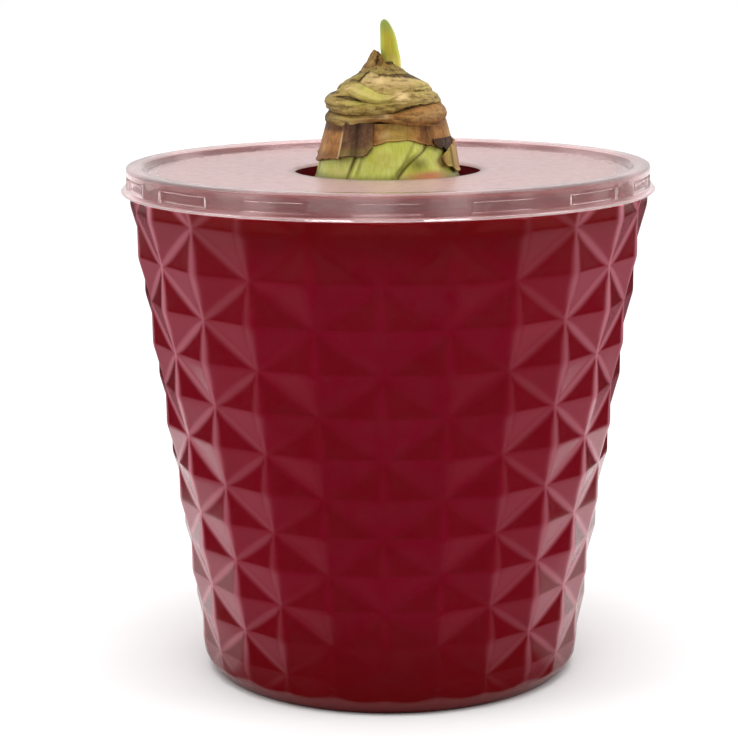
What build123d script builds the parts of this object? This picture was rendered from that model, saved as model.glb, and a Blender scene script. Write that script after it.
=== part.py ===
from build123d import *
from math import cos, radians, sin
import os

# Bulb planter: a star-faceted pot under a clear press-on lid. A grow pot inside it holds the
# growing medium and a flower bulb, whose neck stands up through the lid's round hole.
# Millimetres, +Z up. The origin is on the pot's axis, on the surface that the pot stands on.
# The front faces -Y, and an azimuth is counted from the front towards +X.

os.makedirs("parts", exist_ok=True)

# --- Driving dimensions -----------------------------------------------------------------

# Faceted pot wall: low four-sided pyramids. Their peaks alternate with the pits that eight
# facets meet in, which read as stars.
POT_HEIGHT = 153.6
PEAK_RADIUS_AT_BASE = 57.4
WALL_LEAN = 0.1463  # growth of the peak radius per millimetre of height
STAR_COLUMNS = 24
STAR_ROWS = 14
TOP_ROW_HEIGHT = 142.2
TOP_ROW_PITCH = 13.4
ROW_PITCH_RATIO = 0.977  # each row is a little shorter than the one above
PIT_SHARE = 0.026  # pit depth as a share of the local radius
PATTERN_TURN = -1.5  # azimuth of the front column, degrees
PIT_FADE_START = 3.0  # the pits die out towards the foot
PIT_FADE_LENGTH = 13.0
FACET_TOP = 146.6
FOOT_RADIUS = 53.6
FOOT_MIDDLE = (55.9, 2.4)
FOOT_END = (58.2, 8.0)

# Pot shell
POT_WALL = 2.0  # at the pits
POT_FLOOR = 2.4
POT_CORNER = 3.0
RECESS_RADIUS = 47.0
RECESS_DEPTH = 1.0
NECK_RADIUS = 75.9
RIM_RADIUS = 76.6
RIM_HEIGHT = 2.6

# Lid, formed from one clear sheet
LID_SHEET = 0.8
LID_TOP = 154.6
LID_DISC_TOP = 152.6
LID_HOLE_RADIUS = 27.8
LID_STEP_RADIUS = 72.8
LID_RADIUS = 78.4
LID_FLARE_RADIUS = 80.0
LID_BOTTOM = 147.0
LUG_COUNT = 15
LUG_ARC = 14.5
LUG_LOW = 148.7
LUG_HIGH = 151.8
LUG_INNER_RADIUS = 77.0

# Grow pot
GROW_GAP = 2.0  # between the pot's cavity and the grow pot's wall
GROW_WALL = 0.9
GROW_TOP = 139.0
GROW_BASE = 4.4  # underside of its floor, above the drip gap
GROW_LIP = 1.2
DRAIN_HOLES = 8
DRAIN_RADIUS = 4.0
DRAIN_CIRCLE = 40.0
FOOT_PADS = 8

# Growing medium
MEDIUM_TOP = 105.0
SOCKET_GAP = 0.5
PLANTING_HOLE_RADIUS = 22.0
PLANTING_HOLE_BOTTOM = 50.0

# Bulb: outline of the fleshy body, radius against height, from basal plate to neck tip
BULB_BASE = 72.0
BULB_OUTLINE = [
    (13.0, BULB_BASE),
    (26.0, 77.0),
    (36.5, 89.0),
    (39.5, 105.0),
    (36.8, 122.0),
    (29.5, 137.0),
    (21.6, 151.5),
    (19.2, 160.0),
    (17.2, 168.0),
    (13.0, 181.0),
]
SCALE_SHARE = 0.21  # thickness of one fleshy scale as a share of the radius
SCALE_GAP = 0.01
TUNIC_SHARE = 0.012
TUNIC_TOP = 146.0
ROOT_COUNT = 11
ROOT_LENGTH = 14.0
SHOOT_TIP = 197.4

# Dry wraps of the neck
NECK_SKIN = 0.7
CAP_SKIN = 1.2
CAP_SHIFT = -0.8  # the cap leans to -X
CAP_HEM = 165.6
CAP_WAIST = 172.0
CAP_TOP = 183.0


# --- Formulas ---------------------------------------------------------------------------


def peak_radius(height):
    return PEAK_RADIUS_AT_BASE + WALL_LEAN * height


def cavity_radius(height):
    return peak_radius(height) * (1 - PIT_SHARE) - POT_WALL


def row_height(row):
    return TOP_ROW_HEIGHT - TOP_ROW_PITCH * (1 - ROW_PITCH_RATIO**row) / (1 - ROW_PITCH_RATIO)


def is_pit(column, row):
    return (column + row) % 2 == 1


def lattice_point(column, row):
    height = row_height(row)
    radius = peak_radius(height)
    if is_pit(column, row):
        fade = (height - PIT_FADE_START) / PIT_FADE_LENGTH
        radius *= 1 - PIT_SHARE * min(1.0, max(0.0, fade))
    azimuth = radians(PATTERN_TURN + column * 360 / STAR_COLUMNS)
    return Vector(radius * sin(azimuth), -radius * cos(azimuth), height)


def polygon(points):
    return Face(Wire.make_polygon(points))


def facet_solid():
    """The closed body of triangles, from above the facets' top to below the foot."""
    faces = []
    for row in range(-1, STAR_ROWS - 1):
        for column in range(STAR_COLUMNS):
            near = lattice_point(column, row)
            far = lattice_point(column + 1, row)
            below_far = lattice_point(column + 1, row + 1)
            below_near = lattice_point(column, row + 1)
            # The valley of a cell joins its two pits.
            if is_pit(column, row):
                faces.append(polygon([near, below_near, below_far]))
                faces.append(polygon([near, below_far, far]))
            else:
                faces.append(polygon([near, below_near, far]))
                faces.append(polygon([far, below_near, below_far]))
    for row in (-1, STAR_ROWS - 1):
        faces.append(polygon([lattice_point(column, row) for column in range(STAR_COLUMNS)]))
    return Solid(Shell(faces))


def bulb_outline(share):
    """The bulb's outline with its radius cut down by a share of itself."""
    return [(radius * (1 - share), height) for radius, height in BULB_OUTLINE]


def scale_section(outer_share, inner_share, top):
    """Section of one layer of the bulb, from the basal plate up to a level top."""
    with BuildSketch(Plane.XZ) as section:
        with BuildLine():
            outside = Spline(*bulb_outline(outer_share))
            inside = Spline(*bulb_outline(inner_share))
            Line(outside @ 0, inside @ 0)
            Line(outside @ 1, inside @ 1)
        make_face()
        with Locations((0, top - 100)):
            Rectangle(200, 200, mode=Mode.INTERSECT)
    return section.sketch


def azimuth_plane(azimuth, shift=0):
    """Upright plane through an axis, its X axis pointing outwards at an azimuth."""
    angle = radians(azimuth)
    return Plane(
        origin=(shift, 0, 0),
        x_dir=(sin(angle), -cos(angle), 0),
        z_dir=(-cos(angle), -sin(angle), 0),
    )


def wrap_section(azimuth, outside, skin, shift=0):
    """Section of a dry wrap: a band of one skin, from its outer (radius, height) points."""
    inside = [(radius - skin, height) for radius, height in reversed(outside)]
    with BuildSketch(azimuth_plane(azimuth, shift)) as section:
        with BuildLine():
            Polyline(*outside, *inside, close=True)
        make_face()
    return section.sketch


# --- Pot --------------------------------------------------------------------------------

with BuildPart() as pot:
    add(facet_solid())
    # A rounded foot below and a level shoulder under the lid bound the faceted wall.
    with BuildSketch(Plane.XZ):
        with BuildLine():
            foot = ThreePointArc((FOOT_RADIUS, 0), FOOT_MIDDLE, FOOT_END)
            outside = peak_radius(FACET_TOP) + 1
            Polyline(foot @ 1, (outside, FACET_TOP), (0, FACET_TOP), (0, 0), foot @ 0)
        make_face()
    revolve(axis=Axis.Z, mode=Mode.INTERSECT)
    # Neck and rim bead, which the lid closes over.
    with BuildSketch(Plane.XZ) as neck:
        with BuildLine():
            Polyline(
                (0, FACET_TOP - 1),
                (NECK_RADIUS, FACET_TOP - 1),
                (NECK_RADIUS, POT_HEIGHT - RIM_HEIGHT),
                (RIM_RADIUS, POT_HEIGHT - RIM_HEIGHT + 0.7),
                (RIM_RADIUS, POT_HEIGHT),
                (0, POT_HEIGHT),
                close=True,
            )
        make_face()
        fillet(neck.vertices().group_by(Axis.Y)[-1].sort_by(Axis.X)[-1], 0.8)
    revolve(axis=Axis.Z)
    # Smooth tapered cavity.
    with BuildSketch(Plane.XZ) as cavity:
        with BuildLine():
            Polyline(
                (0, POT_FLOOR),
                (cavity_radius(POT_FLOOR), POT_FLOOR),
                (cavity_radius(FACET_TOP), FACET_TOP),
                (cavity_radius(FACET_TOP), POT_HEIGHT + 1),
                (0, POT_HEIGHT + 1),
                close=True,
            )
        make_face()
        fillet(cavity.vertices().group_by(Axis.Y)[0].sort_by(Axis.X)[-1], POT_CORNER)
    revolve(axis=Axis.Z, mode=Mode.SUBTRACT)
    # The base is hollowed a little, so the pot stands on a flat ring.
    with BuildSketch(Plane.XY):
        Circle(RECESS_RADIUS)
    extrude(amount=RECESS_DEPTH, mode=Mode.SUBTRACT)

pot.part.label = "pot"
export_step(pot.part, "parts/pot.step")

# --- Lid --------------------------------------------------------------------------------

# Each snap lug is pressed inwards from the skirt: a shallow pocket outside, a pad inside.
with BuildPart() as lug_pocket:
    with BuildSketch(azimuth_plane(-LUG_ARC / 2)):
        with Locations((LUG_INNER_RADIUS + LID_SHEET + 1, (LUG_LOW + LUG_HIGH) / 2)):
            Rectangle(2, LUG_HIGH - LUG_LOW)
    revolve(axis=Axis.Z, revolution_arc=LUG_ARC)

with BuildPart() as lug_pad:
    with BuildSketch(azimuth_plane(-LUG_ARC / 2)):
        with Locations((LUG_INNER_RADIUS + 0.5, (LUG_LOW + LUG_HIGH) / 2)):
            Rectangle(1.0, LUG_HIGH - LUG_LOW + LID_SHEET)
    revolve(axis=Axis.Z, revolution_arc=LUG_ARC)

with BuildPart() as lid:
    with BuildSketch(Plane.XZ):
        with BuildLine() as sheet:
            Polyline(
                (LID_HOLE_RADIUS, LID_DISC_TOP),
                (LID_STEP_RADIUS, LID_DISC_TOP),
                (LID_STEP_RADIUS + 0.8, LID_TOP),
                (LID_RADIUS, LID_TOP),
                (LID_RADIUS + 0.2, LID_BOTTOM + LID_SHEET),
                (LID_FLARE_RADIUS, LID_BOTTOM + LID_SHEET),
            )
            offset(amount=LID_SHEET, side=Side.RIGHT, kind=Kind.INTERSECTION)
        make_face()
    revolve(axis=Axis.Z)
    with PolarLocations(0, LUG_COUNT):
        add(lug_pad.part)
    with PolarLocations(0, LUG_COUNT):
        add(lug_pocket.part, mode=Mode.SUBTRACT)

lid.part.label = "lid"
export_step(lid.part, "parts/lid.step")

# --- Grow pot ---------------------------------------------------------------------------

grow_base_radius = cavity_radius(GROW_BASE) - GROW_GAP
grow_top_radius = cavity_radius(GROW_TOP) - GROW_GAP

with BuildPart() as grow_pot:
    with BuildSketch(Plane.XZ):
        with BuildLine():
            Polyline(
                (0, GROW_BASE),
                (grow_base_radius, GROW_BASE),
                (grow_top_radius, GROW_TOP),
                (0, GROW_TOP),
                close=True,
            )
        make_face()
    revolve(axis=Axis.Z)
    # A turned-out lip stiffens the mouth.
    with BuildSketch(Plane.XY.offset(GROW_TOP - 2.5)):
        Circle(grow_top_radius + GROW_LIP)
    extrude(amount=2.5)
    with BuildSketch(Plane.XZ):
        with BuildLine():
            Polyline(
                (0, GROW_BASE + GROW_WALL),
                (grow_base_radius - GROW_WALL, GROW_BASE + GROW_WALL),
                (grow_top_radius - GROW_WALL, GROW_TOP + 1),
                (0, GROW_TOP + 1),
                close=True,
            )
        make_face()
    revolve(axis=Axis.Z, mode=Mode.SUBTRACT)
    # Drain holes in the floor, and pads that hold it above the pot's floor.
    with BuildSketch(Plane.XY.offset(GROW_BASE)):
        with PolarLocations(DRAIN_CIRCLE, DRAIN_HOLES):
            Circle(DRAIN_RADIUS)
        Circle(DRAIN_RADIUS)
    extrude(amount=GROW_WALL, mode=Mode.SUBTRACT)
    with BuildSketch(Plane.XY.offset(POT_FLOOR)):
        with PolarLocations(DRAIN_CIRCLE, FOOT_PADS, start_angle=180 / FOOT_PADS):
            Circle(DRAIN_RADIUS)
    extrude(amount=GROW_BASE - POT_FLOOR)

grow_pot.part.label = "grow_pot"
export_step(grow_pot.part, "parts/grow_pot.step")

# --- Growing medium ---------------------------------------------------------------------

medium_bottom = GROW_BASE + GROW_WALL
medium_lean = (grow_top_radius - grow_base_radius) / (GROW_TOP - GROW_BASE)
medium_base_radius = grow_base_radius - GROW_WALL - 0.1
medium_top_radius = medium_base_radius + medium_lean * (MEDIUM_TOP - medium_bottom)

with BuildPart() as growing_medium:
    with BuildSketch(Plane.XZ):
        with BuildLine():
            Polyline(
                (0, medium_bottom),
                (medium_base_radius, medium_bottom),
                (medium_top_radius, MEDIUM_TOP),
                (0, MEDIUM_TOP),
                close=True,
            )
        make_face()
    revolve(axis=Axis.Z)
    # Socket that the lower half of the bulb sits in.
    with BuildSketch(Plane.XZ):
        with BuildLine():
            bowl = Spline(
                *[(radius + SOCKET_GAP, height - SOCKET_GAP) for radius, height in BULB_OUTLINE[:4]],
                tangents=[(1, 0.2), (0, 1)],
            )
            Polyline(bowl @ 1, (bowl @ 1) + (0, 1), (0, MEDIUM_TOP + 0.5), (0, BULB_BASE - 0.5), bowl @ 0)
        make_face()
    revolve(axis=Axis.Z, mode=Mode.SUBTRACT)
    # Planting hole for the old roots.
    with BuildSketch(Plane.XY.offset(PLANTING_HOLE_BOTTOM)):
        Circle(PLANTING_HOLE_RADIUS)
    extrude(amount=BULB_BASE + 5 - PLANTING_HOLE_BOTTOM, mode=Mode.SUBTRACT)

growing_medium.part.label = "growing_medium"
export_step(growing_medium.part, "parts/growing_medium.step")

# --- Bulb body --------------------------------------------------------------------------

with BuildPart() as basal_plate:
    with BuildSketch(Plane.XZ):
        with BuildLine():
            bottom = ThreePointArc((0, BULB_BASE - 6), (8, BULB_BASE - 5), (13, BULB_BASE - 0.1))
            Polyline(bottom @ 1, (0, BULB_BASE - 0.1), bottom @ 0)
        make_face()
    revolve(axis=Axis.Z)

basal_plate.part.label = "basal_plate"
export_step(basal_plate.part, "parts/basal_plate.step")

# Short dry stumps of last season's roots, splayed a little under the basal plate.
with BuildPart() as roots:
    for index in range(ROOT_COUNT):
        azimuth = index * 360 / ROOT_COUNT
        lean = 8 + 5 * (index % 3)
        reach = 8.4 if index % 2 else 5.2
        with Locations(
            Location(
                (
                    reach * cos(radians(azimuth)),
                    reach * sin(radians(azimuth)),
                    BULB_BASE - 12.2,
                ),
                (lean * sin(radians(azimuth)), -lean * cos(radians(azimuth)), 0),
            )
        ):
            Cone(0.5, 1.0, ROOT_LENGTH)
    add(basal_plate.part, mode=Mode.SUBTRACT)

roots.part.label = "roots"
export_step(roots.part, "parts/roots.step")

# Nested layers on the basal plate, from the papery skin to the innermost fleshy scale.
with BuildPart() as tunic:
    add(scale_section(-TUNIC_SHARE, -TUNIC_SHARE / 4, TUNIC_TOP))
    revolve(axis=Axis.Z)

tunic.part.label = "tunic"
export_step(tunic.part, "parts/tunic.step")

with BuildPart() as outer_scale:
    add(scale_section(0, SCALE_SHARE - SCALE_GAP, 161.0))
    revolve(axis=Axis.Z)

outer_scale.part.label = "outer_scale"
export_step(outer_scale.part, "parts/outer_scale.step")

with BuildPart() as middle_scale:
    add(scale_section(SCALE_SHARE, 2 * SCALE_SHARE - SCALE_GAP, 171.0))
    revolve(axis=Axis.Z)

middle_scale.part.label = "middle_scale"
export_step(middle_scale.part, "parts/middle_scale.step")

with BuildPart() as inner_scale:
    add(scale_section(2 * SCALE_SHARE, 3 * SCALE_SHARE - SCALE_GAP, 178.0))
    revolve(axis=Axis.Z)

inner_scale.part.label = "inner_scale"
export_step(inner_scale.part, "parts/inner_scale.step")

# --- Bud and leaves inside the bulb ------------------------------------------------------

BUD_BASE = 84.0
BUD_TIP = 116.0

with BuildPart() as flower_stem:
    with BuildSketch(Plane.XY.offset(BULB_BASE)):
        Circle(3.2)
    extrude(amount=BUD_BASE - BULB_BASE - 0.1)

flower_stem.part.label = "flower_stem"
export_step(flower_stem.part, "parts/flower_stem.step")

with BuildPart() as flower_bud:
    with BuildSketch(Plane.XZ):
        with BuildLine():
            side = Spline((3.2, BUD_BASE), (8.5, BUD_BASE + 12), (0, BUD_TIP))
            Polyline(side @ 1, (0, BUD_BASE), side @ 0)
        make_face()
    revolve(axis=Axis.Z)

flower_bud.part.label = "flower_bud"
export_step(flower_bud.part, "parts/flower_bud.step")

# A leaf is an upright blade of oval section that tapers to a blunt tip.
with BuildPart() as shoot:
    with BuildSketch(Plane.XY.offset(120)):
        Ellipse(3.4, 1.6)
    with BuildSketch(Plane.XY.offset(182)):
        with Locations((0.9, 0)):
            Ellipse(3.1, 1.8)
    with BuildSketch(Plane.XY.offset(190)):
        with Locations((0.3, 0)):
            Ellipse(2.5, 1.5)
    with BuildSketch(Plane.XY.offset(195)):
        with Locations((-0.5, 0)):
            Ellipse(1.7, 1.1)
    with BuildSketch(Plane.XY.offset(SHOOT_TIP)):
        with Locations((-0.8, 0)):
            Ellipse(0.7, 0.5)
    loft(ruled=True)

shoot.part.label = "shoot"
export_step(shoot.part, "parts/shoot.step")

with BuildPart() as second_leaf:
    with BuildSketch(Plane.XY.offset(120)):
        with Locations((0.4, 3.2)):
            Ellipse(2.6, 1.1)
    with BuildSketch(Plane.XY.offset(184)):
        with Locations((0.2, 3.1)):
            Ellipse(1.7, 0.9)
    with BuildSketch(Plane.XY.offset(188)):
        with Locations((0.4, 3.1)):
            Ellipse(0.6, 0.4)
    loft(ruled=True)

second_leaf.part.label = "second_leaf"
export_step(second_leaf.part, "parts/second_leaf.step")

# --- Dry wraps of the neck ---------------------------------------------------------------

with BuildPart() as tan_strip:
    add(wrap_section(-70, [(21.0, 156.2), (19.4, 165.0)], NECK_SKIN))
    revolve(axis=Axis.Z, revolution_arc=30)

tan_strip.part.label = "tan_strip"
export_step(tan_strip.part, "parts/tan_strip.step")

with BuildPart() as dark_tatter:
    add(wrap_section(-37, [(20.6, 158.2), (19.1, 165.3)], NECK_SKIN))
    revolve(axis=Axis.Z, revolution_arc=25)

dark_tatter.part.label = "dark_tatter"
export_step(dark_tatter.part, "parts/dark_tatter.step")

# The last dry scale under the cap closes the rest of the circle.
with BuildPart() as neck_skin:
    add(wrap_section(-10, [(19.8, 161.9), (19.0, 165.4)], NECK_SKIN))
    revolve(axis=Axis.Z, revolution_arc=298)

neck_skin.part.label = "neck_skin"
export_step(neck_skin.part, "parts/neck_skin.step")

with BuildPart() as side_flap:
    add(wrap_section(55, [(22.0, 153.0), (20.2, 161.6)], NECK_SKIN - 0.1))
    revolve(axis=Axis.Z, revolution_arc=57)

side_flap.part.label = "side_flap"
export_step(side_flap.part, "parts/side_flap.step")

# The cap is the dried top of the bulb: a hem that overhangs, a crown and an outer fold.
cap_axis = Axis((CAP_SHIFT, 0, 0), (0, 0, 1))

with BuildPart() as cap_hem:
    add(wrap_section(90, [(18.6, CAP_HEM), (17.7, CAP_WAIST)], CAP_SKIN, CAP_SHIFT))
    revolve(axis=cap_axis)

cap_hem.part.label = "cap_hem"
export_step(cap_hem.part, "parts/cap_hem.step")

with BuildPart() as cap_crown:
    crown = [(17.6, CAP_WAIST + 0.1), (16.2, 175.8), (10.6, 180.4), (6.5, CAP_TOP)]
    add(wrap_section(90, crown, CAP_SKIN, CAP_SHIFT))
    revolve(axis=cap_axis)

cap_crown.part.label = "cap_crown"
export_step(cap_crown.part, "parts/cap_crown.step")

with BuildPart() as cap_fold:
    add(wrap_section(90, [(18.9, 168.6), (18.5, 173.6)], NECK_SKIN - 0.1, CAP_SHIFT))
    revolve(axis=cap_axis, revolution_arc=85)

cap_fold.part.label = "cap_fold"
export_step(cap_fold.part, "parts/cap_fold.step")

with BuildPart() as neck_peak:
    with Locations((-5.0, 0, CAP_TOP + 0.1)):
        Cone(2.2, 0.7, 5.0, align=(Align.CENTER, Align.CENTER, Align.MIN))

neck_peak.part.label = "neck_peak"
export_step(neck_peak.part, "parts/neck_peak.step")
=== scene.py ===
import math
import random

import bpy
from mathutils import Matrix, Vector, noise


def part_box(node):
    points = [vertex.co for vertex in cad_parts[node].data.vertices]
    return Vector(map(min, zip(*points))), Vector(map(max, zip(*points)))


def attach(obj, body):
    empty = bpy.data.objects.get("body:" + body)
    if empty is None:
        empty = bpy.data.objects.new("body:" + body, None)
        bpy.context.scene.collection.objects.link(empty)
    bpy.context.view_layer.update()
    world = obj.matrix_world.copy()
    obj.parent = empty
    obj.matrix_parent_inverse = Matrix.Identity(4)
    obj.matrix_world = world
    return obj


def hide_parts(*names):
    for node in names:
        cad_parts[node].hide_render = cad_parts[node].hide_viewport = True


# Looks of the bulb planter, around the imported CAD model. Lengths in the design below are in
# millimetres and are turned into metres when a mesh is made. Azimuths are in degrees, counted
# from the front (-Y) towards +X, and z is a height over the floor.

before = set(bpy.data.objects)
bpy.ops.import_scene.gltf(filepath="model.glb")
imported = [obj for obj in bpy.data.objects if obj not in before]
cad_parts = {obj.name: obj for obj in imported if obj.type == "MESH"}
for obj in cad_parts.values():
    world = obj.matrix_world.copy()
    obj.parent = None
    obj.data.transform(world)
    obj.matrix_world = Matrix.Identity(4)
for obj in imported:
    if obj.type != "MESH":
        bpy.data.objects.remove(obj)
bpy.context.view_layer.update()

MM = 0.001
TURN = 360.0

pot_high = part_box("pot")[1]
lid_low, lid_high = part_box("lid")
medium_low, medium_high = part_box("growing_medium")

POT_TOP = pot_high.z / MM
LID_BOTTOM = lid_low.z / MM
LID_TOP = lid_high.z / MM
LID_FLARE_RADIUS = min(lid_high.x, -lid_low.x) / MM
MEDIUM_TOP = medium_high.z / MM
MEDIUM_RADIUS = medium_high.x / MM
SHOOT_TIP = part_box("shoot")[1].z / MM
# Radius of the smallest ring of a round piece, on its axis.
AXIS_RADIUS = 0.01


# --- Small helpers ---


def mix(first, second, share):
    return first + (second - first) * share


def clamp(value, low=0.0, high=1.0):
    return min(high, max(low, value))


def eased(low, high, value):
    """0 below low, 1 above high, and a smooth step between."""
    share = clamp((value - low) / (high - low))
    return share * share * (3 - 2 * share)


def bump(centre, width, value):
    """1 at the centre, falling smoothly to 0 at a width to either side."""
    return 1 - eased(0, width, abs(value - centre))


def through(points, place):
    """Value at a place on a smooth curve through (place, value) points."""
    if place <= points[0][0]:
        return points[0][1]
    if place >= points[-1][0]:
        return points[-1][1]
    index = 0
    while place > points[index + 1][0]:
        index += 1
    before, start = points[max(0, index - 1)], points[index]
    end, after = points[index + 1], points[min(len(points) - 1, index + 2)]
    span = end[0] - start[0]
    share = (place - start[0]) / span
    slope_in = (end[1] - before[1]) / (end[0] - before[0]) * span
    slope_out = (after[1] - start[1]) / (after[0] - start[0]) * span
    square, cube = share**2, share**3
    return (
        (2 * cube - 3 * square + 1) * start[1]
        + (cube - 2 * square + share) * slope_in
        + (3 * square - 2 * cube) * end[1]
        + (cube - square) * slope_out
    )


def around(azimuth, other):
    """Signed turn from one azimuth to another, in degrees, from -180 to 180."""
    return (azimuth - other + TURN / 2) % TURN - TURN / 2


def polar(azimuth, radius, z):
    angle = math.radians(azimuth)
    return Vector((radius * math.sin(angle), -radius * math.cos(angle), z))


def ring(columns, radius, z):
    return [polar(TURN * column / columns, radius, z) for column in range(columns)]


def rough(place, size, octaves=3, seed=0.0):
    """Fractal noise from about -1 to 1, with features of about one size, in millimetres."""
    spot = Vector(place) / size + Vector((seed, seed * 0.7, -seed))
    return noise.fractal(spot, 1.0, 2.0, octaves)


def new_mesh(name, places, faces, material, masks=None):
    """A smooth mesh object from places in millimetres. Masks are named values per vertex."""
    mesh = bpy.data.meshes.new(name)
    mesh.from_pydata([Vector(place) * MM for place in places], [], faces)
    mesh.update()
    mesh.polygons.foreach_set("use_smooth", [True] * len(mesh.polygons))
    for mask_name, values in (masks or {}).items():
        layer = mesh.attributes.new(mask_name, "FLOAT", "POINT")
        layer.data.foreach_set("value", values)
    mesh.materials.append(material)
    made = bpy.data.objects.new(name, mesh)
    bpy.context.scene.collection.objects.link(made)
    return made


def grid_faces(columns, rows, closed, offset=0):
    """Quads of a grid of rows of points. A closed grid joins its last column to its first."""
    faces = []
    for row in range(rows - 1):
        for column in range(columns if closed else columns - 1):
            beside = (column + 1) % columns
            low, high = offset + row * columns, offset + (row + 1) * columns
            faces.append((low + column, low + beside, high + beside, high + column))
    return faces


def turned_over(faces):
    return [face[::-1] for face in faces]


def belongs(piece, body, slot, *nodes):
    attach(piece, body)
    if nodes:
        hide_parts(*nodes)


# --- Materials ---


class Nodes:
    """Builds one procedural material or world, node by node."""

    def __init__(self, name, blocks=bpy.data.materials, shader="Principled BSDF"):
        self.block = blocks.new(name)
        self.block.use_nodes = True
        self.tree = self.block.node_tree
        self.shader = self.tree.nodes[shader]
        self.coordinates = self.add("TexCoord", {})
        self.place = self.coordinates["Object"]

    def put(self, node, inputs):
        """Sets a node's inputs, by name or index, to constants or to the outputs to link."""
        for key, value in inputs.items():
            if isinstance(value, bpy.types.NodeSocket):
                self.tree.links.new(value, node.inputs[key])
            else:
                node.inputs[key].default_value = value

    def set(self, **inputs):
        self.put(self.shader, {name.replace("_", " "): value for name, value in inputs.items()})

    def add(self, kind, inputs, **settings):
        node = self.tree.nodes.new("ShaderNode" + kind)
        for name, value in settings.items():
            setattr(node, name, value)
        self.put(node, inputs)
        return node.outputs

    def stretched(self, scale):
        """Object coordinates scaled by (x, y, z)."""
        return self.add("Mapping", {"Scale": scale, "Vector": self.place})["Vector"]

    def noise(self, size, detail=3.0, roughness=0.55, place=None, distortion=0.0):
        """Noise with features of about one size, in millimetres."""
        look = {"Scale": 1 / (size * MM), "Detail": detail, "Roughness": roughness}
        look.update({"Distortion": distortion, "Vector": place or self.place})
        return self.add("TexNoise", look)["Fac"]

    def cells(self, size):
        return self.add("TexVoronoi", {"Scale": 1 / (size * MM), "Vector": self.place})["Distance"]

    def mask(self, name):
        return self.add("Attribute", {}, attribute_name=name)["Fac"]

    def facing(self):
        """0 where the surface faces the viewer, 1 at its outline, as a sheen is."""
        return self.add("LayerWeight", {})["Facing"]

    def ranged(self, value, low, high, to_low=0.0, to_high=1.0):
        """A smooth step from to_low at low to to_high at high."""
        span = {"From Min": low, "From Max": high, "To Min": to_low, "To Max": to_high}
        return self.add("MapRange", {"Value": value, **span}, interpolation_type="SMOOTHSTEP")["Result"]

    def maths(self, operation, first, second):
        return self.add("Math", {0: first, 1: second}, operation=operation)["Value"]

    def blend(self, share, first, second):
        """Mixes two colours. Sockets 6 and 7 are the node's colour inputs, and 2 its output."""
        return self.add("Mix", {"Factor": share, 6: first, 7: second}, data_type="RGBA")[2]

    def over(self, under, mask, red, green, blue):
        """Lays a screen colour over another where a mask is."""
        return self.blend(self.mask(mask), under, colour(red, green, blue))

    def relief(self, pattern, depth, under=None):
        """Bump from a height pattern, of a depth in millimetres, over another relief if given."""
        below = {} if under is None else {"Normal": under}
        normal = self.add("Bump", {"Distance": depth * MM, "Height": pattern, **below})["Normal"]
        self.set(Normal=normal)
        return normal


def colour(red, green, blue):
    """Linear colour from one picked on a screen, 0 to 255."""
    return tuple((value / 255) ** 2.2 for value in (red, green, blue)) + (1.0,)


def burgundy_plastic():
    """Glossy moulded plastic. Painted highlight makes its rounded creases paler than its facets, more so
    towards the outline, and painted shade darkens parts of its wall and its inside.
    """
    nodes = Nodes("burgundy_plastic")
    cloud = nodes.ranged(nodes.noise(28, detail=4), 0.35, 0.65, 0.8, 1.0)
    # Painted shade: the wall goes from crimson to dark red at its foot, under the lid and on facets that
    # lean in.
    painted_lighting = nodes.maths("MULTIPLY", nodes.mask("painted_lighting"), cloud)
    tint = nodes.blend(painted_lighting, colour(95, 0, 12), colour(114, 0, 32))
    # Painted shade darkens the pot's inside.
    tint = nodes.over(tint, "inside", 52, 2, 14)
    # Painted highlight: creases, and facets that lean out, turn pale towards the outline, standing in for
    # sheen and reflections.
    grazing = nodes.ranged(nodes.facing(), 0.12, 0.75, 0.0, 0.85)
    sheen = nodes.maths("MULTIPLY", nodes.mask("crease"), grazing)
    tint = nodes.blend(sheen, tint, colour(192, 122, 134))
    dust = nodes.maths("MULTIPLY", nodes.ranged(nodes.noise(0.55, detail=2), 0.68, 0.76), 0.05)
    haze = nodes.ranged(nodes.noise(6, detail=5, roughness=0.7), 0.3, 0.7, 0.17, 0.27)
    nodes.set(Base_Color=nodes.blend(dust, tint, colour(190, 120, 128)), Roughness=haze)
    nodes.set(Specular_IOR_Level=0.2)
    skin = nodes.relief(nodes.noise(1.6, detail=2), 0.012)
    nodes.relief(nodes.noise(14, detail=1), 0.10, under=skin)
    return nodes.block


def clear_plastic():
    """Clear formed sheet. Its flat disc is hazed by handling, its rim and skirt are clear. Its pink colour,
    stronger on the rim, is painted reflection of the red pot around and below it.
    """
    nodes = Nodes("clear_plastic")
    # Painted reflection: the clear sheet is coloured pink for the red pot behind it, more on the rim.
    tint = nodes.blend(nodes.mask("rim"), (0.86, 0.64, 0.63, 1), (0.95, 0.74, 0.74, 1))
    nodes.set(Base_Color=tint, IOR=1.46)
    # Less clear where the sheet is milky, and in patches that are painted glints.
    nodes.set(Transmission_Weight=nodes.maths("SUBTRACT", 1.0, nodes.mask("milky_with_painted_glints")))
    scuffs = nodes.noise(3, detail=6, roughness=0.75)
    clear = nodes.ranged(scuffs, 0.35, 0.75, 0.02, 0.08)
    hazy = nodes.maths("MULTIPLY", nodes.mask("haze"), nodes.ranged(scuffs, 0.3, 0.75, 0.26, 0.34))
    nodes.set(Roughness=nodes.maths("ADD", clear, hazy))
    nodes.relief(nodes.noise(9, detail=2, place=nodes.stretched((1, 1, 0.4))), 0.12)
    return nodes.block


def black_plastic():
    nodes = Nodes("black_plastic")
    worn = nodes.ranged(nodes.noise(5, detail=6, roughness=0.75), 0.55, 0.8)
    nodes.set(Base_Color=nodes.blend(worn, (0.012, 0.012, 0.013, 1), (0.05, 0.048, 0.045, 1)))
    nodes.set(Roughness=nodes.ranged(nodes.noise(2, detail=3), 0.3, 0.7, 0.38, 0.55))
    nodes.relief(nodes.noise(0.8, detail=2), 0.02)
    return nodes.block


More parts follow.
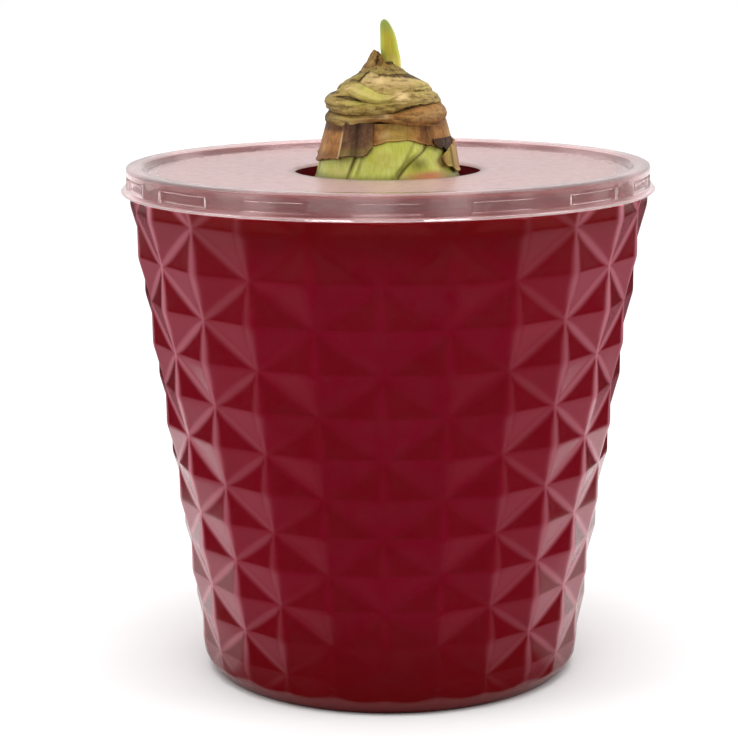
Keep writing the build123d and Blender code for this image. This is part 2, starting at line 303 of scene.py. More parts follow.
def coir():
    nodes = Nodes("coir")
    crumbs = nodes.noise(2.2, detail=6, roughness=0.7)
    earth = nodes.blend(nodes.ranged(crumbs, 0.35, 0.65), colour(38, 24, 16), colour(92, 60, 38))
    flecks = nodes.ranged(nodes.noise(1.1, detail=2), 0.66, 0.74)
    nodes.set(Base_Color=nodes.blend(flecks, earth, colour(150, 110, 72)), Roughness=0.95)
    grain = nodes.relief(nodes.noise(0.7, detail=4), 0.35)
    nodes.relief(nodes.cells(2.6), 0.6, under=grain)
    return nodes.block


def dry_skin(name, pale, middle, dark):
    """Papery bulb skin: faint upright fibres and mottling, darker creases that are painted shade in folds
    and under edges, and pale marks that are partly painted highlight.
    """
    nodes = Nodes(name)
    fibres = nodes.noise(0.5, detail=5, place=nodes.stretched((1, 1, 0.2)), distortion=0.5)
    mottle = nodes.noise(2.6, detail=6, roughness=0.7)
    body = nodes.blend(nodes.ranged(mottle, 0.40, 0.60), colour(*middle), colour(*pale))
    body = nodes.blend(nodes.ranged(fibres, 0.60, 0.34, 0, 0.24), body, colour(*dark))
    # The pale mask is partly painted highlight, and the crease mask is painted shade.
    body = nodes.over(body, "pale", 214, 184, 130)
    body = nodes.over(body, "green", 182, 176, 84)
    body = nodes.over(body, "crease", *dark)
    nodes.set(Base_Color=body, Roughness=nodes.ranged(mottle, 0.3, 0.7, 0.42, 0.68))
    nodes.set(Specular_IOR_Level=0.3)
    grain = nodes.relief(fibres, 0.10)
    nodes.relief(nodes.noise(1.3, detail=4), 0.30, under=grain)
    return nodes.block


def fleshy_scale():
    nodes = Nodes("green_scale")
    veins = nodes.noise(0.8, detail=4, place=nodes.stretched((1, 1, 0.12)))
    patches = nodes.noise(5, detail=3)
    light = nodes.ranged(patches, 0.38, 0.62)
    flesh = nodes.blend(light, colour(202, 208, 94), colour(214, 220, 122))
    flesh = nodes.blend(nodes.ranged(veins, 0.58, 0.40, 0, 0.35), flesh, colour(184, 182, 66))
    # The crease mask is painted shade, and the pale marks are partly painted highlight.
    flesh = nodes.over(flesh, "crease", 88, 78, 24)
    flesh = nodes.over(flesh, "pale", 214, 190, 118)
    flesh = nodes.over(flesh, "blush", 196, 124, 88)
    nodes.set(Base_Color=flesh, Roughness=nodes.ranged(patches, 0.3, 0.7, 0.3, 0.42))
    nodes.set(Subsurface_Weight=0.12, Subsurface_Radius=(0.002, 0.0025, 0.0006))
    nodes.relief(veins, 0.14)
    return nodes.block


def shoot_skin():
    nodes = Nodes("shoot_green")
    veins = nodes.noise(0.45, detail=3, place=nodes.stretched((1, 1, 0.06)))
    body = nodes.blend(nodes.ranged(veins, 0.35, 0.65), colour(180, 168, 50), colour(196, 182, 68))
    body = nodes.over(body, "edge", 196, 204, 94)
    body = nodes.over(body, "tip", 146, 160, 82)
    body = nodes.over(body, "pale", 232, 214, 110)
    nodes.set(Base_Color=body, Roughness=0.36)
    nodes.set(Subsurface_Weight=0.15, Subsurface_Radius=(0.002, 0.003, 0.0005))
    nodes.relief(veins, 0.08)
    return nodes.block


def corky():
    nodes = Nodes("root_plate")
    grain = nodes.noise(1.4, detail=6, roughness=0.7)
    cork = nodes.blend(nodes.ranged(grain, 0.35, 0.65), colour(92, 66, 42), colour(178, 144, 100))
    nodes.set(Base_Color=cork, Roughness=0.85)
    nodes.relief(grain, 0.5)
    return nodes.block


def pale_flesh(name, first, second):
    """Waxy flesh inside the bulb."""
    nodes = Nodes(name)
    veins = nodes.noise(0.9, detail=3, place=nodes.stretched((1, 1, 0.1)))
    flesh = nodes.blend(nodes.ranged(veins, 0.35, 0.65), colour(*first), colour(*second))
    nodes.set(Base_Color=flesh, Roughness=0.4)
    nodes.set(Subsurface_Weight=0.1, Subsurface_Radius=(0.002, 0.002, 0.001))
    nodes.relief(veins, 0.1)
    return nodes.block


def floor_paint():
    nodes = Nodes("floor")
    paint = nodes.blend(nodes.noise(40, detail=4), (0.88, 0.88, 0.88, 1), (0.92, 0.92, 0.915, 1))
    nodes.set(Base_Color=paint, Roughness=0.9, Specular_IOR_Level=0.1)
    return nodes.block


BURGUNDY = burgundy_plastic()
CLEAR = clear_plastic()
BLACK = black_plastic()
COIR = coir()
BROWN_SKIN = dry_skin("brown_tunic", (164, 118, 64), (136, 94, 48), (56, 32, 16))
TAN_SKIN = dry_skin("tan_tunic", (174, 124, 70), (144, 96, 52), (72, 44, 26))
OLIVE_SKIN = dry_skin("olive_tunic", (174, 150, 86), (146, 122, 64), (62, 44, 20))
DARK_SKIN = dry_skin("dark_tunic", (122, 90, 64), (96, 68, 50), (48, 32, 24))
GREEN_SCALE = fleshy_scale()
SHOOT = shoot_skin()
CORKY = corky()
PALE_FLESH = pale_flesh("pale_scale", (214, 208, 168), (232, 228, 196))
BUD_FLESH = pale_flesh("bud", (196, 128, 108), (206, 176, 120))


# --- Pot ---

# The faceted wall is the CAD's: pyramids whose peaks alternate with pits. Here every ridge and
# valley gets a fillet that swells between the pits, like a lens.
PEAK_RADIUS_AT_BASE = 57.4
WALL_LEAN = 0.1463
STAR_COLUMNS = 24
TOP_ROW_HEIGHT = 142.2
TOP_ROW_PITCH = 13.4
ROW_PITCH_RATIO = 0.977
PIT_SHARE = 0.026
PATTERN_TURN = -1.5
PIT_FADE_START = 3.0
PIT_FADE_LENGTH = 13.0
FACET_TOP = 146.6
FOOT_RADIUS = 53.6
FOOT_ROUND_RADIUS = 58.2
FOOT_ROUND_HEIGHT = 8.0
RECESS_RADIUS = 47.0
RECESS_DEPTH = 1.0
NECK_RADIUS = 75.9
RIM_RADIUS = 76.6
POT_WALL = 2.0
POT_FLOOR = 2.4
FLOOR_ROUND = 3
CELL_STEPS = 18
RIDGE_FILLET = 0.15
LEVEL_FILLET = 0.10
VALLEY_FILLET = 0.22
# Shares of the painted highlight on valleys and on facets that lean out, against that on ridges.
VALLEY_SHINE = 0.75
LOWER_FACET_SHINE = 0.34
INSIDE_SHADE = 0.75
COLUMN_TURN = TURN / STAR_COLUMNS


def peak_radius(z):
    return PEAK_RADIUS_AT_BASE + WALL_LEAN * z


def row_height(row):
    return TOP_ROW_HEIGHT - TOP_ROW_PITCH * (1 - ROW_PITCH_RATIO**row) / (1 - ROW_PITCH_RATIO)


def row_at(z):
    share = (TOP_ROW_HEIGHT - z) * (1 - ROW_PITCH_RATIO) / TOP_ROW_PITCH
    return math.log(1 - share) / math.log(ROW_PITCH_RATIO)


def is_pit(column, row):
    return (column + row) % 2 == 1


def pit_share(z):
    return PIT_SHARE * clamp((z - PIT_FADE_START) / PIT_FADE_LENGTH)


def lattice_point(column, row):
    z = row_height(row)
    radius = peak_radius(z)
    if is_pit(column, row):
        radius *= 1 - pit_share(z)
    return polar(PATTERN_TURN + column * COLUMN_TURN, radius, z)


def fillet(distance, width):
    """How far a fillet of a half width moves a crease's surface, at a distance from it."""
    if distance >= width:
        return 0.0
    return (distance * distance + width * width) / (2 * width) - distance


def crease_width(widest, share):
    """Half width of a fillet along a crease, from nothing at a pit to its widest."""
    return widest * math.sin(math.pi / 2 * clamp(share)) ** 0.8 + 1e-6


def crease_shine(distance, width):
    """1 along the middle of a fillet, falling to 0 at its edge."""
    return 1 - eased(0.1, 1.0, distance / width)


def wall_place(column, row):
    """Place on the rounded faceted wall, its painted highlight and its painted lighting. The highlight is
    painted sheen: creases are the palest, and facets that lean out over the floor are paler than the
    others, as painted reflection of the pale floor. Where the painted lighting is low, painted shade
    darkens the facets that lean in, the foot and the band under the lid.
    """
    left, above = math.floor(column), math.floor(row)
    across, down = column - left, row - above
    near, far = left, left + 1
    if is_pit(left, above):
        near, far, across = far, near, 1 - across
    # Peaks are now at (near, above) and (far, below); the valley joins the other two corners.
    below = above + 1
    top_pit, low_pit = lattice_point(far, above), lattice_point(near, below)
    if across + down <= 1:
        peak = lattice_point(near, above)
        place = peak + (top_pit - peak) * across + (low_pit - peak) * down
    else:
        peak = lattice_point(far, below)
        place = peak + (low_pit - peak) * (1 - across) + (top_pit - peak) * (1 - down)
    z = place.z
    radius = peak_radius(z)
    share = pit_share(z)
    # Distances to the creases, and how far along each the nearest pit is.
    beside, level = min(across, 1 - across), min(down, 1 - down)
    along_ridge = 1 - down if across < 0.5 else down
    along_level = 1 - across if down < 0.5 else across
    valley = abs(1 - across - down)
    along_valley = (across + 1 - down) / 2
    ridge_width = crease_width(RIDGE_FILLET, along_ridge)
    valley_width = crease_width(VALLEY_FILLET, 4 * along_valley * (1 - along_valley))
    upright_drop = radius * (1 - (1 - share) * math.cos(math.radians(COLUMN_TURN)))
    pit_drop = radius * share
    shift = pit_drop * fillet(valley, valley_width)
    shift -= upright_drop * fillet(beside, ridge_width)
    shift -= pit_drop * fillet(level, crease_width(LEVEL_FILLET, along_level))
    outwards = Vector((place.x, place.y, 0)).normalized()
    leans_out = eased(-0.06, 0.06, 1 - across - down)
    # Painted highlight: strongest along the creases' fillets, weaker on facets that lean out over the
    # floor.
    shine = max(
        LOWER_FACET_SHINE * leans_out,
        crease_shine(beside, ridge_width),
        VALLEY_SHINE * crease_shine(valley, valley_width),
    )
    # Painted shade: the wall is darker towards its foot, under the lid and on facets that lean in.
    inland = eased(2, 40, z) * eased(146, 128, z)
    painted_lighting = inland * mix(0.5, 1.0, max(leans_out, shine))
    return place + outwards * shift, shine * clamp(share / PIT_SHARE), painted_lighting


def foot_limit(z):
    if z >= FOOT_ROUND_HEIGHT:
        return 1e9
    rise = 1 - z / FOOT_ROUND_HEIGHT
    return FOOT_ROUND_RADIUS - (FOOT_ROUND_RADIUS - FOOT_RADIUS) * rise**1.95


def pot_rows():
    """Lattice rows of the wall's grid, from the shoulder down to the foot."""
    first, last = row_at(FACET_TOP), row_at(0.0)
    steps = range(math.ceil(first * CELL_STEPS), int(last * CELL_STEPS) + 1)
    return [first, *(step / CELL_STEPS for step in steps), last]


def wall_faces(columns, rows, offset):
    """Triangles of the wall's grid, split along the valley of the cell that they are in."""
    faces = []
    for index in range(len(rows) - 1):
        above = math.floor((rows[index] + rows[index + 1]) / 2)
        high = offset + index * columns
        low = high + columns
        for column in range(columns):
            beside = (column + 1) % columns
            near_high, far_high = high + column, high + beside
            near_low, far_low = low + column, low + beside
            if is_pit(column // CELL_STEPS, above):
                faces += [(near_high, near_low, far_low), (near_high, far_low, far_high)]
            else:
                faces += [(near_high, near_low, far_high), (far_high, near_low, far_low)]
    return faces


def cavity_radius(z):
    return peak_radius(z) * (1 - PIT_SHARE) - POT_WALL


def pot_inner_profile(lip):
    """(radius, height) from the middle of the floor up to the rim, over it and down the neck."""
    corner = cavity_radius(POT_FLOOR) - FLOOR_ROUND
    turned = [(AXIS_RADIUS, POT_FLOOR), (cavity_radius(0) - FLOOR_ROUND, POT_FLOOR)]
    for step in range(1, 7):
        angle = math.radians(15 * step)
        rise = FLOOR_ROUND - FLOOR_ROUND * math.cos(angle)
        turned.append((corner + FLOOR_ROUND * math.sin(angle), POT_FLOOR + rise))
    turned += [(cavity_radius(z), z) for z in range(20, 141, 20)]
    turned += [(lip, FACET_TOP), (lip, POT_TOP - 0.5)]
    turned += [(lip + 0.15, POT_TOP - 0.15), (lip + 0.5, POT_TOP)]
    turned += [(RIM_RADIUS - 0.6, POT_TOP), (RIM_RADIUS - 0.15, POT_TOP - 0.15)]
    turned += [(RIM_RADIUS, POT_TOP - 0.6), (RIM_RADIUS, POT_TOP - 1.9)]
    turned += [(NECK_RADIUS, POT_TOP - 2.7), (NECK_RADIUS, FACET_TOP + 0.3)]
    return turned + [(NECK_RADIUS + 0.3, FACET_TOP)]


def build_pot():
    columns = STAR_COLUMNS * CELL_STEPS
    lip = cavity_radius(FACET_TOP)
    points = []

    def add_ring(radius, z):
        # Painted shade for the inside of the pot, since the lid casts no shadow.
        in_cavity = radius < lip + 0.2 and POT_FLOOR <= z < POT_TOP - 2
        inside = INSIDE_SHADE if in_cavity else 0.0
        points.extend((place, 0.0, 0.0, inside) for place in ring(columns, radius, z))

    turned = pot_inner_profile(lip)
    for radius, z in turned:
        add_ring(radius, z)
    wall_start = len(points)
    rows = pot_rows()
    for row in rows:
        for column in range(columns):
            place, shine, painted_facet_lighting = wall_place(column / CELL_STEPS, row)
            z = clamp(place.z, 0.0, FACET_TOP)
            radius = min(math.hypot(place.x, place.y), foot_limit(z))
            azimuth = math.degrees(math.atan2(place.x, -place.y))
            points.append((polar(azimuth, radius, z), shine, painted_facet_lighting, 0.0))
    wall_end = len(points) - columns
    under = [(RECESS_RADIUS, 0.0), (RECESS_RADIUS, RECESS_DEPTH), (AXIS_RADIUS, RECESS_DEPTH)]
    for radius, z in under:
        add_ring(radius, z)
    faces = turned_over(grid_faces(columns, len(turned) + 1, closed=True))
    faces += wall_faces(columns, rows, wall_start)
    faces += turned_over(grid_faces(columns, len(under) + 1, closed=True, offset=wall_end))
    places, crease, painted_lighting, inside = zip(*points)
    # Masks: painted highlight on creases and leaning-out facets, painted shade of the wall, and painted
    # shade inside.
    masks = {"crease": crease, "painted_lighting": painted_lighting, "inside": inside}
    belongs(new_mesh("pot_shell", places, faces, BURGUNDY, masks), "pot", "burgundy_plastic", "pot")


# --- Lid ---

LID_SHEET = 0.8
LID_DISC_TOP = 152.6
LID_HOLE_RADIUS = 27.8
LID_STEP_RADIUS = 72.8
LID_RADIUS = 78.4
LID_COLUMNS = 720
SKIRT_STEPS = 26
LUG_COUNT = 15
LUG_ARC = 14.5
LUG_LOW = 148.7
LUG_HIGH = 151.8
LUG_DEPTH = 0.9


def lid_profile():
    """Outer face of the lid's sheet as (radius, height), from the hole to the flange's edge."""
    points = [(LID_HOLE_RADIUS + 0.05, LID_DISC_TOP - 0.2), (LID_HOLE_RADIUS + 0.3, LID_DISC_TOP)]
    points += [(radius, LID_DISC_TOP) for radius in (30, 36, 44, 52, 60, 68)]
    points += [(LID_STEP_RADIUS - 0.5, LID_DISC_TOP), (LID_STEP_RADIUS, LID_DISC_TOP + 0.15)]
    points += [(LID_STEP_RADIUS + 0.5, LID_TOP - 0.5), (LID_STEP_RADIUS + 1.1, LID_TOP)]
    points += [(LID_STEP_RADIUS + 2.8, LID_TOP), (LID_RADIUS - 0.7, LID_TOP)]
    points += [(LID_RADIUS - 0.2, LID_TOP - 0.2), (LID_RADIUS, LID_TOP - 0.7)]
    top, low = LID_TOP - 1.1, LID_BOTTOM + 1.3
    shares = [step / SKIRT_STEPS for step in range(SKIRT_STEPS + 1)]
    points += [(LID_RADIUS, mix(top, low, share)) for share in shares]
    points += [(LID_RADIUS + 0.15, LID_BOTTOM + 0.95), (LID_RADIUS + 0.5, LID_BOTTOM + LID_SHEET)]
    points += [(LID_FLARE_RADIUS - 0.25, LID_BOTTOM + LID_SHEET), (LID_FLARE_RADIUS, LID_BOTTOM + 0.5)]
    return points


def lug_press(azimuth, z):
    """How far the skirt is pressed inwards, in millimetres."""
    pitch = TURN / LUG_COUNT
    aside = abs(around(azimuth % pitch, 0 if azimuth % pitch < pitch / 2 else pitch))
    across = 1 - eased(LUG_ARC / 2 - 0.55, LUG_ARC / 2 + 0.35, aside)
    over_low = eased(LUG_LOW - 0.35, LUG_LOW + 0.25, z)
    under_high = 1 - eased(LUG_HIGH - 0.25, LUG_HIGH + 0.35, z)
    return LUG_DEPTH * across * (over_low * under_high)


def lid_masks(profile):
    """How rough, milky and pink the sheet is: its disc is scuffed, the pink of its rim is painted
    reflection of the pot, and brighter patches round it are painted glints.
    """
    masks = {"haze": [], "milky_with_painted_glints": [], "rim": []}
    spots = ring(LID_COLUMNS, 40, 0)
    # Painted glints: random patches round the sheet that are less clear and so brighter.
    patches = [eased(-0.1, 0.5, rough(spot, 16, 2, 3.0)) for spot in spots]
    for radius, z in profile:
        on_disc = eased(LID_STEP_RADIUS, LID_STEP_RADIUS - 2, radius)
        on_rim = eased(LID_TOP - 1.0, LID_TOP - 0.3, z)
        on_flange = eased(LID_RADIUS + 0.1, LID_RADIUS + 0.4, radius)
        milky = max(0.18 * on_disc, 0.12 * on_rim, 0.20 * on_flange)
        masks["haze"] += [max(on_disc, 0.5 * on_rim)] * LID_COLUMNS
        masks["milky_with_painted_glints"] += [max(milky, 0.05 + 0.12 * patch) for patch in patches]
        masks["rim"] += [1 - on_disc] * LID_COLUMNS
    return masks


def build_lid():
    outer = lid_profile()
    inner = []
    for index, (radius, z) in enumerate(outer):
        before, after = outer[max(0, index - 1)], outer[min(len(outer) - 1, index + 1)]
        run, rise = after[0] - before[0], after[1] - before[1]
        length = math.hypot(run, rise)
        inner.append((radius + rise / length * LID_SHEET, z - run / length * LID_SHEET))
    profile = outer + inner[::-1]
    places = []
    for radius, z in profile:
        on_skirt = radius > LID_RADIUS - 1.2 and z < LID_TOP - 1.0
        slack = 0.06 * eased(LID_HOLE_RADIUS, 70, radius)
        for column in range(LID_COLUMNS):
            azimuth = TURN * column / LID_COLUMNS
            press = lug_press(azimuth, z) if on_skirt else 0.0
            wave = slack * math.sin(math.radians(3 * azimuth + 40))
            places.append(polar(azimuth, radius - press, min(z + wave, LID_TOP)))
    faces = grid_faces(LID_COLUMNS, len(profile), closed=True)
    last = (len(profile) - 1) * LID_COLUMNS
    for column in range(LID_COLUMNS):
        beside = (column + 1) % LID_COLUMNS
        faces.append((last + column, last + beside, beside, column))
    lid = new_mesh("lid_clear", places, turned_over(faces), CLEAR, lid_masks(profile))
    # Clear plastic lets the light through to the pot's rim behind it.
    lid.visible_shadow = False
    belongs(lid, "lid", "clear_plastic", "lid")


# --- Growing medium ---

MEDIUM_COLUMNS = 240
MEDIUM_TOP_RINGS = 26
# Planting hole and socket under the bulb, as (radius, height).
SOCKET = [
    (AXIS_RADIUS, 50.0), (21.9, 50.0), (22.0, 66.0), (27.5, 77.5),
    (36.0, 87.5), (39.2, 95.0), (40.1, 100.0),
]
SOCKET_RIM = 40.3
FIBRE_COUNT = 420
FIBRE_STEPS = 5


def build_medium():
    """Crumbly coir: a lumpy top around the bulb, a plain side against the grow pot."""
    low, high = medium_low / MM, medium_high / MM
    rim = high.x - 0.3
    base = PEAK_RADIUS_AT_BASE * (1 - PIT_SHARE) - POT_WALL - 3.2 + 0.1425 * low.z
    # Each ring is a radius, a height and how lumpy it is.
    rings = [(radius, z, 0.25) for radius, z in SOCKET]
    for step in range(MEDIUM_TOP_RINGS + 1):
        rings.append((mix(SOCKET_RIM, rim, step / MEDIUM_TOP_RINGS), MEDIUM_TOP - 1.4, 1.0))
    rings += [(rim, MEDIUM_TOP - 6, 0.1), (mix(rim, base, 0.5), mix(MEDIUM_TOP, low.z, 0.5), 0.1)]
    rings += [(base, low.z + 0.3, 0.0), (AXIS_RADIUS, low.z + 0.3, 0.0)]
    places = []
    for radius, z, lumpy in rings:
        for place in ring(MEDIUM_COLUMNS, radius, z):
            lump = rough(place, 7, 4, 1.0) + 0.5 * rough(place, 2.2, 3, 2.0)
            place.z = z + clamp(lump * 1.5, -2.2, 1.3) * lumpy
            places.append(place)
    faces = turned_over(grid_faces(MEDIUM_COLUMNS, len(rings), closed=True))
    medium = new_mesh("coir_bed", places, faces, COIR)
    belongs(medium, "grow_pot", "coir", "growing_medium")


def strand(places, faces, path, radius, sides=4):
    """Adds a thin tapered tube along a path to lists of places and faces."""
    start = len(places)
    for index, spot in enumerate(path):
        before, after = path[max(0, index - 1)], path[min(len(path) - 1, index + 1)]
        direction = (after - before).normalized()
        first = direction.orthogonal().normalized()
        second = direction.cross(first)
        taper = radius * mix(1.0, 0.45, index / (len(path) - 1))
        for side in range(sides):
            angle = math.tau * side / sides
            places.append(spot + (first * math.cos(angle) + second * math.sin(angle)) * taper)
    faces.extend(grid_faces(sides, len(path), closed=True, offset=start))
    faces.append(tuple(start + side for side in reversed(range(sides))))
    end = start + (len(path) - 1) * sides
    faces.append(tuple(end + side for side in range(sides)))


def build_coir_fibres():
    """Loose fibres that lie on the medium."""
    dice = random.Random(4)
    places, faces = [], []
    for _ in range(FIBRE_COUNT):
        azimuth = dice.uniform(0, TURN)
        radius = math.sqrt(dice.uniform(42.5**2, (MEDIUM_RADIUS - 4) ** 2))
        spot = polar(azimuth, radius, MEDIUM_TOP - dice.uniform(0.9, 1.6))
        heading = dice.uniform(0, math.tau)
        curl = dice.uniform(-0.35, 0.35)
        length = dice.uniform(3, 8)
        path = []
        for step in range(FIBRE_STEPS + 1):
            path.append(spot.copy())
            spot = spot + Vector((math.cos(heading), math.sin(heading), 0)) * length / FIBRE_STEPS
            spot.z = MEDIUM_TOP - 1.2 + 1.0 * math.sin(math.pi * step / FIBRE_STEPS)
            heading += curl
        if all(42 < math.hypot(p.x, p.y) < MEDIUM_RADIUS - 1.5 for p in path):
            strand(places, faces, path, dice.uniform(0.12, 0.26))
    fibres = new_mesh("coir_fibres", places, faces, CORKY)
    belongs(fibres, "grow_pot", "coir")


# --- Bulb below the lid ---

BULB_BASE = 72.0
# Outline of the bulb as (height, radius), from its base to the top of its neck.
BULB_OUTLINE = [
    (BULB_BASE, 13), (77, 26), (89, 36.5), (105, 39.3), (122, 36.8),
    (137, 29.5), (151.5, 21.4), (160, 19.2), (168, 17.2),
]
SCALE_TOP = 164.2
ROOT_COUNT = 26
ROOT_STEPS = 8


def bulb_radius(z):
    return through(BULB_OUTLINE, z)


def skin_wrinkles(azimuth, z, seed):
    """Height of upright wrinkles in a dry skin, from about -1 to 1."""
    spot = polar(azimuth, 30, z * 0.16)
    return 0.7 * rough(spot, 3.2, 3, seed) + 0.3 * rough(spot, 1.2, 2, seed + 5)


def sheet(name, slot, node, material, span, size, thickness, edges, radius, masks, share=float, aside=0):
    """A layer of the bulb between two azimuths, its grid's size given in columns and rows.

    edges(azimuth) gives its lower and upper height and share(v) how far up between them a row
    is. radius and masks say where each point is and what its named values are. aside is how far
    right the layer's middle is.
    """
    columns, rows = size
    closed = span[1] - span[0] == TURN
    uprights = []
    for column in range(columns):
        u = column / (columns if closed else columns - 1)
        azimuth = mix(*span, u)
        uprights.append((u, azimuth, *edges(azimuth)))
    places = []
    values = {mask: [] for mask in ("crease", "pale", "green", "blush")}
    for row in range(rows):
        v = row / (rows - 1)
        for u, azimuth, low, high in uprights:
            z = mix(low, high, share(v))
            spot = polar(azimuth, radius(azimuth, z, u, v), z)
            places.append(spot + Vector((aside, 0, 0)))
            shown = masks(azimuth, z, u, v)
            for mask in values:
                values[mask].append(clamp(shown.get(mask, 0.0)))
    piece = new_mesh(name, places, grid_faces(columns, rows, closed), material, values)
    solid = piece.modifiers.new("thickness", "SOLIDIFY")
    solid.thickness = thickness * MM
    solid.offset = -1
    belongs(piece, "bulb", slot, *([node] if node else []))


def build_tunic():
    """Brown papery skin of the belly, with splits in its upper edge."""

    def edges(azimuth):
        return BULB_BASE + 1, 143.0 + 1.8 * rough(polar(azimuth, 12, 0), 5, 3, 7.0)

    def radius(azimuth, z, u, v):
        lift = 0.25 + 0.30 * skin_wrinkles(azimuth, z, 3.0) * eased(0, 0.2, v)
        return bulb_radius(z) * 1.004 + clamp(lift, 0.06, 0.5)

    def masks(azimuth, z, u, v):
        # Painted shade in the wrinkles' hollows and along the upper edge, painted highlight on their
        # crests.
        wrinkle = skin_wrinkles(azimuth, z, 3.0)
        crease = eased(0.1, -0.7, wrinkle) * 0.8 + 0.5 * eased(0.96, 1, v)
        return {"crease": crease, "pale": eased(0.5, 1.1, wrinkle) * 0.4}

    sheet(
        "tunic_skin", "brown_tunic", "tunic", BROWN_SKIN,
        (0, TURN), (300, 80), 0.16, edges, radius, masks,
    )


# Left and right edges as (height, azimuth), and how far the petal stands out.
SCALE_PETALS = [
    (
        [(148, -36), (153, -33), (158, -28), (165, -22)],
        [(148, 4), (153, 9), (157, 21), (160, 34), (165, 46)],
        1.1,
    ),
    ([(148, -92), (156, -84), (165, -78)], [(148, -30), (165, -18)], 0.45),
    ([(148, 0), (165, 30)], [(148, 78), (156, 88), (165, 100)], 0.5),
    ([(148, 96), (165, 90)], [(148, 150), (165, 158)], 0.8),
    ([(148, 144), (165, 150)], [(148, 214), (165, 204)], 0.4),
    ([(148, 210), (165, 200)], [(148, 272), (165, 280)], 0.9),
]


def petal_edges(azimuth, z):
    """For each petal: how far inside its nearest edge a place is, in degrees, and its lift."""
    edges = []
    for left, right, lift in SCALE_PETALS:
        start, end = through(left, z), through(right, z)
        middle, half = (start + end) / 2, (end - start) / 2
        edges.append((half - abs(around(azimuth, middle)), lift))
    return edges


def build_fleshy_scale():
    """Green fleshy scale: the bulb's body, whose overlapping petals show in the lid's hole."""

    def radius(azimuth, z, u, v):
        petals = petal_edges(azimuth, z)
        fullness = max(lift * eased(0, 6, inside) for inside, lift in petals) - 0.7
        lumps = 0.16 * rough(polar(azimuth, 20, z), 5, 2, 4.0)
        lean = -0.5 * eased(150, 158, z) * math.sin(math.radians(azimuth))
        shown = eased(144, 152, z)
        return bulb_radius(z) + fullness * shown + lumps + lean

    def masks(azimuth, z, u, v):
        front = around(azimuth, 0)
        petals = petal_edges(azimuth, z)
        # Painted shade beside the petals' edges, under the middle petal's right edge and near the lid's
        # hole; the pale marks are partly painted highlight.
        crease = 0.9 * max(lift * bump(-1.0, 3.2, inside) for inside, lift in petals)
        painted_lobe_shade = 0.7 * bump(27, 15, front) * bump(155.8, 3.4, z)
        shadow = 0.8 * eased(153.9, 151.0, z)
        pale = 0.9 * bump(56, 18, front) * bump(155.8, 2.6, z)
        pale += 0.5 * bump(-46, 24, front) * bump(153.6, 2, z)
        pale += 0.35 * bump(-4, 14, front) * bump(158, 4, z)
        blush = bump(36, 34, front) * eased(154.6, 152.6, z)
        return {"crease": max(crease, painted_lobe_shade, shadow), "blush": blush, "pale": pale}

    sheet(
        "green_scale", "green_scale", "outer_scale", GREEN_SCALE, (0, TURN), (360, 130), 2.4,
        lambda azimuth: (BULB_BASE + 0.5, SCALE_TOP), radius, masks, share=lambda v: v**0.8,
    )


def build_roots():
    """Dry roots that curl under the basal plate, inside the planting hole."""
    dice = random.Random(11)
    places, faces = [], []
    for index in range(ROOT_COUNT):
        azimuth = index * TURN / ROOT_COUNT + dice.uniform(-5, 5)
        reach = dice.uniform(4, 12)
        path = []
        heading = dice.uniform(-0.5, 0.5)
        length = dice.uniform(9, 14)
        for step in range(ROOT_STEPS + 1):
            share = step / ROOT_STEPS
            turn = 14 * math.sin(3 * share + heading) * share
            radius = reach + 3.5 * share + 0.6 * math.sin(7 * share + index)
            drop = 1.5 + length * share + 2.5 * (1 - (reach / 13) ** 2) * (1 - share)
            path.append(polar(azimuth + turn, radius, BULB_BASE - drop))
        strand(places, faces, path, dice.uniform(0.5, 0.9), sides=7)
    belongs(new_mesh("dry_roots", places, faces, CORKY), "bulb", "root_plate", "roots")


def build_basal_plate():
    """Corky disc whose underside bulges down to the roots."""
    columns, rows = 96, 18
    places = []
    for row in range(rows):
        share = row / (rows - 1)
        radius = AXIS_RADIUS + 13.4 * math.sin(share * math.pi / 2)
        z = BULB_BASE - 5.8 * math.cos(share * math.pi / 2) + 0.4 * share
        for column in range(columns):
            azimuth = TURN * column / columns
            knob = 0.5 * rough(polar(azimuth, radius, z), 2.4, 3, 9.0)
            rise = abs(knob) * 0.5 * (1 - share)
            places.append(polar(azimuth, radius + knob * 0.4 * share, z + rise))
    top = len(places)
    places.append(Vector((0, 0, BULB_BASE + 0.4)))
    faces = grid_faces(columns, rows, closed=True)
    last = (rows - 1) * columns
    faces += [(last + column, last + (column + 1) % columns, top) for column in range(columns)]
    plate = new_mesh("basal_cork", places, faces, CORKY)
    belongs(plate, "bulb", "root_plate", "basal_plate")


# --- Neck of the bulb ---

CAP_SHIFT = -0.8
BLADE_BASE = 150.0


def neck_strip(name, slot, node, material, low, high, outline, lift, seed, tones):
    """A dry strip on the neck, as far round as the table of its lower edge goes.

    low and high are the edges' heights by azimuth, and outline is the radius by height. A table
    with one point is level.
    """
    start, end = low[0][0], low[-1][0]

    def edges(azimuth):
        ragged = 0.30 * rough(polar(azimuth, 16, 0), 1.6, 3, seed)
        return through(low, azimuth) + ragged, through(high, azimuth)

    def radius(azimuth, z, u, v):
        wrinkle = 0.24 * skin_wrinkles(azimuth, z, seed)
        curl = 0.25 * (eased(0.10, 0, u) + eased(0.90, 1, u) + eased(0.08, 0, v))
        return through(outline, z) + lift + wrinkle + curl

    def masks(azimuth, z, u, v):
        shown = tones(azimuth, u, v)
        wrinkle = skin_wrinkles(azimuth, z, seed)
        # Painted shade in the wrinkles' hollows.
        shown["crease"] = 0.35 * eased(0, -0.8, wrinkle) + shown.get("crease", 0.0)
        return shown

    size = (max(24, int((end - start) * 1.6)), 40)
    sheet(name, slot, node, material, (start, end), size, 0.45, edges, radius, masks)


